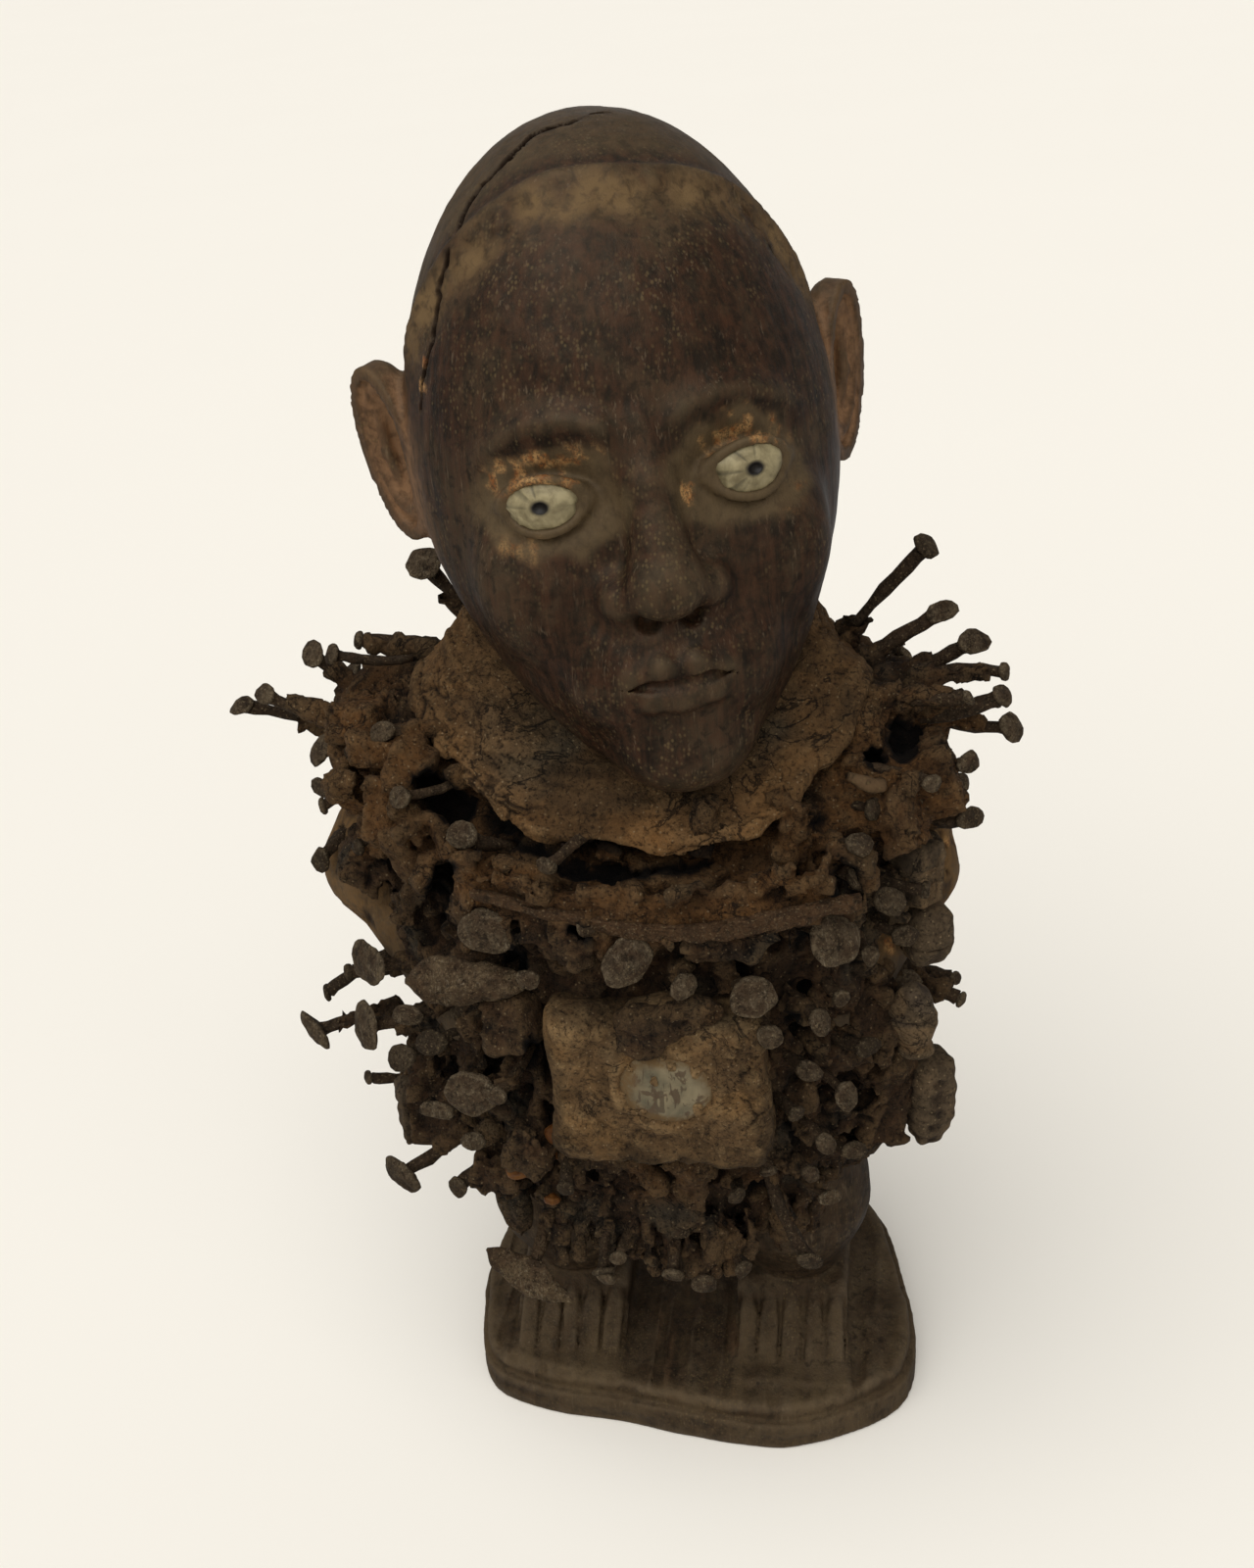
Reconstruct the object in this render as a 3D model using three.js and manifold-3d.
// Standing power figure: one block of dark wood carved as a figure on its base, with inlaid eyes,
// a collar and a body coat of resin, cloth and earth, a pack with a glass pane on the belly,
// and hand-forged nails, blades and wrapped pegs driven in all round.
//
// Millimetres. +Z is up, the figure faces -Y, and +X is the viewer's right.
// The origin is the middle of the base's underside.

import * as THREE from 'three';
import { mergeVertices } from 'three/addons/utils/BufferGeometryUtils.js';
import { RoundedBoxGeometry } from 'three/addons/geometries/RoundedBoxGeometry.js';
import Module from 'manifold-3d';

const wasm = await Module();
wasm.setup();

// Driving dimensions

const GAP = 0.34;
const DEG = Math.PI / 180;
const AXIS = -4;

const BASE = { rim: 11, top: 17, lip: 1.4, round: 1.5 };
const BASE_OUTLINE = [
  [-66, 38], [-75, 12], [-73, -18], [-66, -37], [-46, -45], [-20, -48], [8, -53], [32, -54.5],
  [50, -49], [69, -37], [75, -18], [72, 8], [62, 42], [34, 50], [-30, 50],
];

const HEAD = {
  at: [-3, -3, 318.5], wide: 109, deep: 112, tall: 163,
  turn: 14, lean: 4.5, back: 6,
};
const JAW = { from: 0.1, narrow: 0.17, shallow: 0.1, forward: 22, flat: 0.05 };
const EYE = { apart: 22.5, high: 0, wide: 24, tall: 13, back: 42.5, bulge: 7.5, inlay: 14, splay: 16 };
const SOCKET = { at: [22.5, -54.5, 1], radii: [15, 10, 10.7] };
const EAR = { tall: 46, wide: 23, thick: 7.5, high: 8, behind: 8, lean: 6, flare: 36 };
const FACE = {
  brow: { knots: [[38, -40, 11], [23, -50, 18], [7, -53, 15]], outer: 2.2, inner: 3 },
  bridge: { from: [0, -50, 13], to: [0, -57, -19], top: 5, tip: 8 },
  tip: { at: [0, -57, -22], radii: [9.5, 8.5, 8] },
  wing: { at: [9, -52, -24], radii: [7, 8, 6] },
  upperLip: { at: [0, -55, -42], radii: [17, 6, 4.2] },
  lowerLip: { at: [0, -55, -49], radii: [14.5, 6, 4.4] },
  chin: { at: [0, -42, -66], radii: [17, 14, 13] },
};

const TRUNK = [
  { at: [AXIS, 4, 204], radii: [57, 37, 42], rows: 6 },
  { at: [AXIS, -1, 150], radii: [48, 45, 52], rows: 7 },
  { at: [AXIS, 5, 116], radii: [56, 38, 32], rows: 6 },
];
const ARM = {
  shoulder: { at: [64, 6, 226], radius: 19 },
  elbow: { y: 2, z: 188 },
  hand: { at: [52, -30, 157], radius: 11 },
  right: { out: 83, radius: 17.5 },
  left: { out: 74, radius: 15 },
};
const NECK = { radius: 30, from: [AXIS, 2, 212], to: [AXIS, 4, 280] };
const COLLAR = {
  wide: 47, deep: 44, back: -1, side: 261, rise: 14, dip: 8, thin: 7, thick: 18, reach: 17,
  ragged: 1.5, flare: 2, tube: 0.4,
};

const FEET = [34, -40];
const LEG = {
  thigh: { y: 2, z: 112, radius: 29, inward: 5 },
  knee: { y: -2, z: 64, radius: 24.5 },
  ankle: { y: 5, z: 26, radius: 16.5 },
};
const FOOT = { long: 62, wide: 37, tall: 15, forward: 11 };
const TOE = { count: 5, long: 24, tall: 6.8, forward: 30, high: 2, fullness: 0.54 };

const COAT = {
  wide: 82, deep: 60, back: -4, low: 104, high: 254, fullness: 0.45, wave: 0.035,
  waist: { at: 150, fade: 50, narrow: 0.24 },
  droop: { depth: 16, from: 205, fade: 45 },
};
const COAT_LUMPS = [
  { at: [-74, 0, 241], radii: [20, 19, 18] },
  { at: [66, 2, 237], radii: [20, 20, 18] },
  { at: [6, -27, 100], radii: [43, 25, 26], around: 12, rows: 6 },
  { at: [47, -12, 114], radii: [19, 26, 29] },
  { at: [62, -16, 132], radii: [15, 17, 22] },
  { at: [-70, -16, 130], radii: [17, 19, 24] },
];

const PACK = { at: [3, -57, 159], wide: 59, tall: 50, deep: 26, round: 7 };
const PANE = { at: [5, -68.6, 162], wide: 26, tall: 25, thick: 3 };

const STRIP = { half: 50, sag: 6.5, thick: 2.6, tall: 8, at: [7, -62, 215] };
const BLADE = { thick: 4, edge: 1.4, flat: 0.3, shank: 2 };
const LEAF = { long: 28, broad: 8.5, turn: [-20, 31, -4], at: [-43.5, -58, 77], root: [-34, -30, 96] };
const SPADE = { long: 31, broad: 10, turn: [-16, 0, -4], at: [-48.5, -62, 191], root: [-36, -34, 194] };
const PEGS = {
  cone_peg: {
    at: [73, -24, 193], lean: [0, -4, 0], profile: [[0, 0], [6, 1], [8, 15], [6.8, 20], [0, 22]],
  },
  bound_peg: {
    at: [74.5, -24, 173], lean: [0, 3, 0], profile: [[0, 0], [5.6, 1], [7, 7], [6.4, 16], [0, 18.5]],
  },
  shell_peg: {
    at: [73, -29, 143], lean: [4, -6, 0], profile: [[0, 0], [4.6, 1.5], [7.4, 15], [6, 22], [0, 26]],
  },
  round_peg: {
    at: [76, -22, 104], lean: [0, 3, 0], profile: [[0, 0], [4.5, 2], [7.4, 10], [7.2, 31], [0, 33]],
  },
  tapered_peg: {
    at: [-85, -24, 98], lean: [4, 6, 0], profile: [[0, 0], [2.4, 1.5], [4.8, 25], [0, 28]],
  },
};
const NAIL = { shaft: 1.9, head: 2.6, sunk: 13 };

// Nails: bearing round the body from the front (degrees, + to viewer's right), height of the head,
// its distance from the body axis, rise and swing of the shaft (degrees), shaft shown, head width.
const NAILS = [
  [-114, 275, 73, 55, 20, 14, 10],
  [-90, 260, 94, 45, 0, 10, 7],
  [-88, 245, 117, 18, 0, 22, 6],
  [-84, 253, 107, 20, -10, 14, 6.5],
  [-77, 239, 92, 6, 0, 5, 8.5],
  [-68, 243, 82, 20, 0, 6, 6.5],
  [-80, 224, 94, 2, 10, 13, 6.5],
  [-82, 197, 99, -28, 28, 10, 6.5],
  [-37, 234, 70, 34, -10, 6, 7.5],
  [-30, 209, 75, 18, 6, 6, 13.5],
  [-68, 176, 89, 5, -12, 7, 14],
  [-77, 156, 103, -26, 8, 14, 5],
  [-80, 138, 111, -14, 0, 15, 12.5],
  [-69, 152, 93, -6, -18, 8, 14],
  [-38, 151, 79, 6, -8, 8, 14.5],
  [-60, 104, 92, -30, -6, 24, 14],
  [-50, 104, 79, -34, -4, 18, 6.5],
  [1, 205, 73, 16, 0, 6, 12.5],
  [26, 193, 78, 14, 6, 10, 11],
  [42, 205, 83, 16, -4, 9, 14],
  [97, 285, 80, 48, 0, 20, 7],
  [93, 268, 84, 32, 0, 15, 6.5],
  [90, 261, 92, 30, -6, 15, 7.5],
  [84, 250, 100, 16, 6, 17, 6],
  [88, 236, 103, -8, 0, 14, 8],
  [76, 236, 93, 10, 4, 7, 6.5],
  [78, 217, 94, 6, 6, 9, 6.5],
  [48, 231, 83, 22, 0, 8, 6.5],
  [82, 150, 92, -22, -10, 10, 5],
  [-14, 82, 63, -62, 0, 14, 6.5],
  [5, 82, 62, -66, 0, 16, 7],
  [37, 91, 78, -52, 4, 26, 6.5],
];
const BACK = {
  count: 8, from: 112, to: 246, low: 124, high: 244, turn: 0.618,
  reach: { mean: 76, spread: 4, step: 2.1 },
  rise: { low: -20, range: 45 },
  swing: { mean: 0, spread: 8, step: 1.7 },
  shown: { mean: 11, spread: 4, step: 2.9 },
  head: { mean: 8, spread: 3, step: 4.1 },
};

const BLACK_WOOD = { color: 0x2b2019, roughness: 0.42, metalness: 0 };
const PALE_SHARD = { color: 0x9fa08c, roughness: 0.3, metalness: 0 };
const EARTH = { color: 0x4a3524, roughness: 0.95, metalness: 0 };
const PACK_RESIN = { color: 0x54442f, roughness: 0.9, metalness: 0 };
const CLOUDED_GLASS = { color: 0x8b8e7d, roughness: 0.25, metalness: 0 };
const OLD_IRON = { color: 0x352c25, roughness: 0.8, metalness: 0.5 };
const WRAPPED = { color: 0x463828, roughness: 0.9, metalness: 0 };

// Solids and small helpers

function solid(geometry) {
  const bare = geometry.clone();
  bare.deleteAttribute('normal');
  bare.deleteAttribute('uv');
  const merged = mergeVertices(bare, 1e-4);
  const corners = merged.index.array;
  const kept = [];
  for (let i = 0; i < corners.length; i += 3) {
    const [a, b, c] = [corners[i], corners[i + 1], corners[i + 2]];
    if (a !== b && b !== c && c !== a) kept.push(a, b, c);
  }
  return new wasm.Manifold(new wasm.Mesh({
    numProp: 3,
    vertProperties: new Float32Array(merged.attributes.position.array),
    triVerts: new Uint32Array(kept),
  }));
}

function join(parts) {
  return parts.reduce((whole, part) => whole.add(part));
}

// The largest body of a cut solid, without crumbs that a cut left loose.
function main(body) {
  const bodies = body.decompose();
  return bodies.reduce((best, each) => (each.volume() > best.volume() ? each : best));
}

function node(name, body, material) {
  const made = body.getMesh();
  const geometry = new THREE.BufferGeometry();
  const places = new Float32Array(made.numVert * 3);
  for (let i = 0; i < made.numVert; i += 1) {
    for (let k = 0; k < 3; k += 1) places[3 * i + k] = made.vertProperties[made.numProp * i + k];
  }
  geometry.setAttribute('position', new THREE.BufferAttribute(places, 3));
  geometry.setIndex(Array.from(made.triVerts));
  geometry.computeVertexNormals();
  const mesh = new THREE.Mesh(geometry, new THREE.MeshStandardMaterial(material));
  mesh.name = name;
  return mesh;
}

function ease(t) {
  const held = Math.min(1, Math.max(0, t));
  return held * held * (3 - 2 * held);
}

function lump(x, y, z) {
  return Math.sin(x * 0.19 + z * 0.07) * Math.cos(y * 0.17 - z * 0.13)
    + 0.6 * Math.sin(z * 0.31 + x * 0.11 + 1.3) * Math.cos(x * 0.29 - y * 0.21);
}

// A sphere of unit radius with its poles on Z, each of its points moved by place(x, y, z).
function formed(around, rows, place) {
  const geometry = new THREE.SphereGeometry(1, around, rows);
  geometry.rotateX(Math.PI / 2);
  const points = geometry.attributes.position;
  for (let i = 0; i < points.count; i += 1) {
    points.setXYZ(i, ...place(points.getX(i), points.getY(i), points.getZ(i)));
  }
  return geometry;
}

function turning([x, y, z]) {
  return new THREE.Matrix4().makeRotationFromEuler(new THREE.Euler(x * DEG, y * DEG, z * DEG));
}

function ball(at, radii, around = 14, rows = 9, turn = [0, 0, 0]) {
  const geometry = formed(around, rows, (x, y, z) => [x * radii[0], y * radii[1], z * radii[2]]);
  geometry.applyMatrix4(turning(turn));
  geometry.translate(...at);
  return geometry;
}

function towards(geometry, from, to) {
  const way = new THREE.Vector3(...to).sub(new THREE.Vector3(...from)).normalize();
  const turn = new THREE.Quaternion().setFromUnitVectors(new THREE.Vector3(0, 1, 0), way);
  geometry.applyQuaternion(turn);
  geometry.translate(...from);
  return geometry;
}

// A tapered limb with rounded ends, its centre line running from one point to the other.
function limb(from, to, r0, r1, around = 14) {
  const length = new THREE.Vector3(...from).distanceTo(new THREE.Vector3(...to));
  const profile = [
    new THREE.Vector2(0, -r0), new THREE.Vector2(r0 * 0.71, -r0 * 0.71), new THREE.Vector2(r0, 0),
    new THREE.Vector2(r1, length), new THREE.Vector2(r1 * 0.71, length + r1 * 0.71),
    new THREE.Vector2(0, length + r1),
  ];
  return towards(new THREE.LatheGeometry(profile, around), from, to);
}

function turned(profile, around) {
  return new THREE.LatheGeometry(profile.map(([r, h]) => new THREE.Vector2(r, h)), around);
}

// The base: a worn oval block with a lip round its upper edge

function outline(inset) {
  const middle = new THREE.Vector2(0, 0);
  const points = BASE_OUTLINE.map(([x, y]) => new THREE.Vector2(x, y));
  const drawn = points.map((p) => p.clone().sub(p.clone().sub(middle).setLength(inset)));
  const curve = new THREE.SplineCurve([...drawn, drawn[0]]);
  return new THREE.Shape(curve.getPoints(30).slice(0, -1));
}

function baseBlock() {
  const rim = new THREE.ExtrudeGeometry(outline(0), { depth: BASE.rim, bevelEnabled: false });
  const start = BASE.rim / 2;
  const top = new THREE.ExtrudeGeometry(outline(BASE.lip + BASE.round), {
    depth: BASE.top - BASE.round - start,
    bevelEnabled: true,
    bevelThickness: BASE.round,
    bevelSize: BASE.round,
    bevelSegments: 1,
  });
  top.translate(0, 0, start);
  return solid(rim).add(solid(top));
}

// Legs, feet and carved toes

function leg(x, grow) {
  const { thigh, knee, ankle } = LEG;
  const hip = [x - Math.sign(x) * thigh.inward, thigh.y, thigh.z];
  const bend = [x, knee.y, knee.z];
  return [
    limb(hip, bend, thigh.radius + grow, knee.radius + grow, 9),
    limb(bend, [x, ankle.y, ankle.z], knee.radius + grow, ankle.radius + grow, 9),
  ];
}

function foot(x) {
  return ball([x, -FOOT.forward, BASE.top], [FOOT.wide / 2, FOOT.long / 2, FOOT.tall], 12, 6);
}

function toes(x) {
  const pitch = FOOT.wide / TOE.count;
  return Array.from({ length: TOE.count }, (_, i) => {
    const across = (i - (TOE.count - 1) / 2) * pitch;
    const radii = [pitch * TOE.fullness, TOE.long / 2, TOE.tall];
    return ball([x + across, -TOE.forward, BASE.top + TOE.high], radii, 6, 4);
  });
}

// Trunk with arms akimbo; grow thickens it, for cutting its place in what lies over it.

function trunk(grow) {
  return TRUNK.map(({ at, radii, rows }) => ball(at, radii.map((r) => r + grow), 12, rows));
}

function arm(side, { out, radius }, grow) {
  const at = ([across, y, z]) => [AXIS + side * across, y, z];
  const bend = at([out, ARM.elbow.y, ARM.elbow.z]);
  return [
    limb(at(ARM.shoulder.at), bend, ARM.shoulder.radius + grow, radius + grow, 7),
    limb(bend, at(ARM.hand.at), radius - 1.5 + grow, ARM.hand.radius + grow, 6),
  ];
}

function neck(grow) {
  return limb(NECK.from, NECK.to, NECK.radius + grow, NECK.radius + grow, 10);
}

// All the wood between the base and the head.
function limbs(grow) {
  const legs = FEET.flatMap((x) => leg(x, grow));
  const arms = [...arm(-1, ARM.right, grow), ...arm(1, ARM.left, grow)];
  return join([...legs, ...trunk(grow), ...arms, neck(grow)].map(solid));
}

// Head: a tall egg with the chin brought forward, set on the neck turned and tilted

function onHead(geometry) {
  const pose = new THREE.Matrix4().makeTranslation(...HEAD.at)
    .multiply(new THREE.Matrix4().makeRotationY(-HEAD.lean * DEG))
    .multiply(new THREE.Matrix4().makeRotationZ(HEAD.turn * DEG))
    .multiply(new THREE.Matrix4().makeRotationX(-HEAD.back * DEG));
  return geometry.applyMatrix4(pose);
}

function skull(grow) {
  return formed(22, 15, (x, y, z) => {
    const low = ease((-z - JAW.from) / (1 - JAW.from));
    const front = y < 0 ? 1 - JAW.flat * ease(1 - Math.abs(z) * 1.4) : 1;
    return [
      x * (HEAD.wide / 2 * (1 - JAW.narrow * low) + grow),
      y * (HEAD.deep / 2 * front * (1 - JAW.shallow * low) + grow) - JAW.forward * low,
      z * (HEAD.tall / 2 + grow),
    ];
  });
}

// A place on one side of the face, its first number being how far it is from the middle.
function across(side, [x, y, z]) {
  return [side * x, y, z];
}

function browRidge(side) {
  const { knots, outer, inner } = FACE.brow;
  const [end, arch, start] = knots.map((knot) => across(side, knot));
  return [limb(end, arch, outer, inner, 5), limb(arch, start, inner, inner, 5)];
}

function nose() {
  const { bridge, tip, wing } = FACE;
  return [
    limb(bridge.from, bridge.to, bridge.top, bridge.tip, 7),
    ball(tip.at, tip.radii, 7, 5),
    ...[-1, 1].map((side) => ball(across(side, wing.at), wing.radii, 6, 4)),
  ];
}

function chin(grow) {
  return ball(FACE.chin.at, FACE.chin.radii.map((r) => r + grow), 8, 5);
}

function mouth() {
  return [...[FACE.upperLip, FACE.lowerLip].map(({ at, radii }) => ball(at, radii, 8, 4)), chin(0)];
}

function ear(side) {
  const at = [side * (HEAD.wide / 2 + 1), EAR.behind, EAR.high];
  const lean = [0, side * EAR.lean, side * -EAR.flare];
  const shell = solid(onHead(ball(at, [EAR.thick, EAR.wide / 2, EAR.tall / 2], 8, 7, lean)));
  const cup = [side * (HEAD.wide / 2 + 6), EAR.behind - 5, EAR.high - 1];
  const hollow = [EAR.thick * 0.9, EAR.wide * 0.36, EAR.tall * 0.36];
  return shell.subtract(solid(onHead(ball(cup, hollow, 7, 5, lean))));
}

function eyeball(side) {
  const at = [side * EYE.apart, -EYE.back, EYE.high];
  return ball(at, [EYE.wide / 2, EYE.bulge, EYE.tall / 2], 8, 4, [0, 0, side * EYE.splay]);
}

function socket(side) {
  return ball(across(side, SOCKET.at), SOCKET.radii, 8, 5, [0, 0, side * EYE.splay]);
}

// The pale shard let into each eye, or, grown, the pocket that takes it.
function inlay(side, grow) {
  const disc = turned([
    [0, -grow], [EYE.inlay / 2 + grow, -grow], [EYE.inlay / 2 - 0.7 + grow, 3], [0, 3.8],
  ], 10);
  disc.scale(1, 1, 0.74);
  disc.rotateZ(Math.PI + side * EYE.splay * DEG);
  disc.translate(side * (EYE.apart - 0.5), -47, EYE.high);
  return solid(onHead(disc));
}

function head() {
  const raised = [...mouth(), ...nose(), ...[-1, 1].flatMap(browRidge)].map((g) => solid(onHead(g)));
  const egg = solid(onHead(skull(0))).subtract(join([-1, 1].map((s) => solid(onHead(socket(s))))));
  const lids = [-1, 1].map((side) => solid(onHead(eyeball(side))));
  return join([egg, ...raised, ...lids, ear(-1), ear(1)]);
}

// Resin and cloth: the collar under the jaw, and the coat over the body

function collar(grow) {
  const { tube } = COLLAR;
  const ring = new THREE.TorusGeometry(1, tube, 6, 20);
  const points = ring.attributes.position;
  for (let i = 0; i < points.count; i += 1) {
    const [x, y, z] = [points.getX(i), points.getY(i), points.getZ(i)];
    const around = Math.atan2(y, x);
    const [cos, sin] = [Math.cos(around), Math.sin(around)];
    const out = (Math.hypot(x, y) - 1) / tube;
    const up = z / tube;
    const middle = COLLAR.side + COLLAR.rise * sin - COLLAR.dip * sin * sin;
    const half = COLLAR.thin + (COLLAR.thick - COLLAR.thin) * ease((sin + 1) / 1.2) + grow;
    const reach = COLLAR.reach + COLLAR.ragged * lump(60 * cos, 60 * sin, 15 * up) + grow;
    points.setXYZ(
      i,
      AXIS + (COLLAR.wide + out * reach) * cos,
      COLLAR.back + (COLLAR.deep + out * reach) * sin,
      middle + up * half + out * COLLAR.flare,
    );
  }
  return solid(ring);
}

function coat() {
  const tall = (COAT.high - COAT.low) / 2;
  const middle = (COAT.high + COAT.low) / 2;
  const barrel = formed(20, 10, (x, y, z) => {
    const round = Math.hypot(x, y);
    const full = Math.pow(round, COAT.fullness - 1);
    const height = middle + z * tall;
    const wave = 1 + COAT.wave * lump(x * COAT.wide, y * COAT.deep, height);
    const narrow = 1 - COAT.waist.narrow * ease((COAT.waist.at - height) / COAT.waist.fade);
    const sagging = ease((height - COAT.droop.from) / COAT.droop.fade);
    return [
      AXIS + (round > 0.01 ? x * full : 0) * COAT.wide * wave * narrow,
      COAT.back + (round > 0.01 ? y * full : 0) * COAT.deep * wave,
      height - Math.max(0, -y) * COAT.droop.depth * sagging,
    ];
  });
  const lumps = COAT_LUMPS.map(({ at, radii, around = 8, rows = 5 }) => ball(at, radii, around, rows));
  return join([barrel, ...lumps].map(solid));
}

// The pack on the belly and the pane set in it

function pack(grow) {
  const box = new RoundedBoxGeometry(
    PACK.wide + 2 * grow, PACK.deep + 2 * grow, PACK.tall + 2 * grow, 1, PACK.round);
  box.translate(...PACK.at);
  return solid(box);
}

function pane(grow) {
  const disc = turned([[0, -grow], [0.5, -grow], [0.5, PANE.thick], [0, PANE.thick + 0.6]], 14);
  disc.scale(PANE.wide + 2 * grow, 1, PANE.tall + 2 * grow);
  disc.rotateZ(Math.PI);
  disc.translate(...PANE.at);
  return solid(disc);
}

// Iron: the strip over the chest, the two blades, and every nail

function strip(grow) {
  const { half, sag, thick, tall, at } = STRIP;
  const bend = new THREE.Shape();
  const end = half + grow;
  bend.moveTo(-end, sag - grow);
  bend.quadraticCurveTo(0, -sag - grow, end, sag - grow);
  bend.lineTo(end, sag + thick + grow);
  bend.quadraticCurveTo(0, -sag + thick + grow, -end, sag + thick + grow);
  const bar = new THREE.ExtrudeGeometry(bend, {
    depth: tall + 2 * grow, bevelEnabled: false, curveSegments: 10,
  });
  bar.translate(0, 0, -tall / 2 - grow);
  bar.translate(...at);
  return solid(bar);
}

// A plate of the drawn shape, thinner at its edges, on a shank that runs back to its root.
function blade({ turn, at, root }, draw, grow) {
  const shape = new THREE.Shape();
  draw(shape);
  const flat = BLADE.thick * BLADE.flat + 2 * grow;
  const plate = new THREE.ExtrudeGeometry(shape, {
    depth: flat,
    bevelEnabled: true,
    bevelThickness: BLADE.thick * (1 - BLADE.flat) / 2,
    bevelSize: BLADE.edge,
    bevelSegments: 1,
    curveSegments: 4,
  });
  plate.translate(0, 0, -flat / 2);
  plate.rotateX(Math.PI / 2);
  plate.applyMatrix4(turning(turn));
  plate.translate(...at);
  return solid(plate).add(solid(limb(at, root, BLADE.shank + grow, BLADE.shank + grow, 5)));
}

function leafBlade(grow) {
  const { long, broad } = LEAF;
  return blade(LEAF, (shape) => {
    shape.moveTo(-long / 2 - grow, 0);
    shape.quadraticCurveTo(0, broad + grow, long / 2 + grow, 0);
    shape.quadraticCurveTo(0, -broad - grow, -long / 2 - grow, 0);
  }, grow);
}

function spadeBlade(grow) {
  const { long, broad } = SPADE;
  return blade(SPADE, (shape) => {
    shape.moveTo(-long / 2 - grow, -3);
    shape.quadraticCurveTo(-long / 4, broad + grow, 0, broad - 2 + grow);
    shape.lineTo(long / 2 + grow, -1);
    shape.quadraticCurveTo(long / 8, -broad - grow, -long / 2 - grow, -3);
  }, grow);
}

function nail([bearing, height, reach, rise, swing, shown, width], grow) {
  const far = shown + NAIL.sunk;
  const neck = far - NAIL.head;
  const profile = [
    [0, -grow], [NAIL.shaft * 0.7 + grow, 1.5 - grow], [NAIL.shaft + grow, neck - grow],
    [width / 2 + grow, far - NAIL.head * 0.4], [0, far + grow],
  ];
  const out = (bearing + swing) * DEG;
  const flat = Math.cos(rise * DEG);
  const way = [flat * Math.sin(out), -flat * Math.cos(out), Math.sin(rise * DEG)];
  const top = [AXIS + reach * Math.sin(bearing * DEG), -reach * Math.cos(bearing * DEG), height];
  const foot = top.map((v, i) => v - way[i] * far);
  return solid(towards(turned(profile, 5), foot, top));
}

// Nails carry on round the back in a loose spiral.
function backNails() {
  return Array.from({ length: BACK.count }, (_, i) => {
    const around = i / (BACK.count - 1);
    const up = (i * BACK.turn) % 1;
    const uneven = ({ mean, spread, step }) => mean + spread * Math.sin(i * step);
    return [
      BACK.from + (BACK.to - BACK.from) * around,
      BACK.low + (BACK.high - BACK.low) * up,
      uneven(BACK.reach),
      BACK.rise.low + BACK.rise.range * up,
      uneven(BACK.swing),
      uneven(BACK.shown),
      uneven(BACK.head),
    ];
  });
}

// A wrapped or plain peg hanging at the side, turned about its own upright line.
function peg({ at, lean, profile }, grow) {
  const last = profile.length - 1;
  const body = turned(profile.map(([r, h], i) => {
    const end = i === 0 ? -grow : grow;
    return i === 0 || i === last ? [0, h + end] : [r + grow, h];
  }), 8);
  body.rotateX(Math.PI / 2);
  body.applyMatrix4(turning(lean));
  body.translate(...at);
  return solid(body);
}

// Assembly

function driven(grow) {
  return join([
    ...[...NAILS, ...backNails()].map((each) => nail(each, grow)),
    leafBlade(grow),
    spadeBlade(grow),
    strip(grow),
    ...Object.values(PEGS).map((each) => peg(each, grow)),
  ]);
}

function carving() {
  return join([
    baseBlock(),
    ...FEET.flatMap((x) => [foot(x), ...toes(x)]).map(solid),
    limbs(0),
    head(),
  ]);
}

// Everything of the wood that resin and cloth lie against, a gap larger all round.
function woodPlace() {
  return limbs(GAP).add(solid(onHead(skull(GAP)))).add(solid(onHead(chin(GAP))));
}

const sides = [['left', 1], ['right', -1]];
const sunk = driven(GAP);
const place = woodPlace();
const whole = new THREE.Group();

const pockets = join([sunk, pack(GAP), ...sides.map(([, side]) => inlay(side, GAP))]);
whole.add(node('figure', main(carving().subtract(pockets)), BLACK_WOOD));
sides.forEach(([name, side]) => whole.add(node(`eye_${name}`, inlay(side, 0), PALE_SHARD)));

whole.add(node('collar', main(collar(0).subtract(place).subtract(sunk)), EARTH));
const room = join([place, sunk, pack(GAP), collar(GAP)]);
whole.add(node('body_coat', main(coat().subtract(room)), EARTH));

whole.add(node('belly_pack', main(pack(0).subtract(pane(GAP)).subtract(sunk)), PACK_RESIN));
whole.add(node('belly_pane', pane(0), CLOUDED_GLASS));

whole.add(node('chest_strip', strip(0), OLD_IRON));
whole.add(node('leaf_blade', leafBlade(0), OLD_IRON));
whole.add(node('spade_blade', spadeBlade(0), OLD_IRON));
Object.entries(PEGS).forEach(([name, each]) => whole.add(node(name, peg(each, 0), WRAPPED)));

[...NAILS, ...backNails()].forEach((each, i) => {
  whole.add(node(`nail_${String(i + 1).padStart(2, '0')}`, nail(each, 0), OLD_IRON));
});

export default whole;
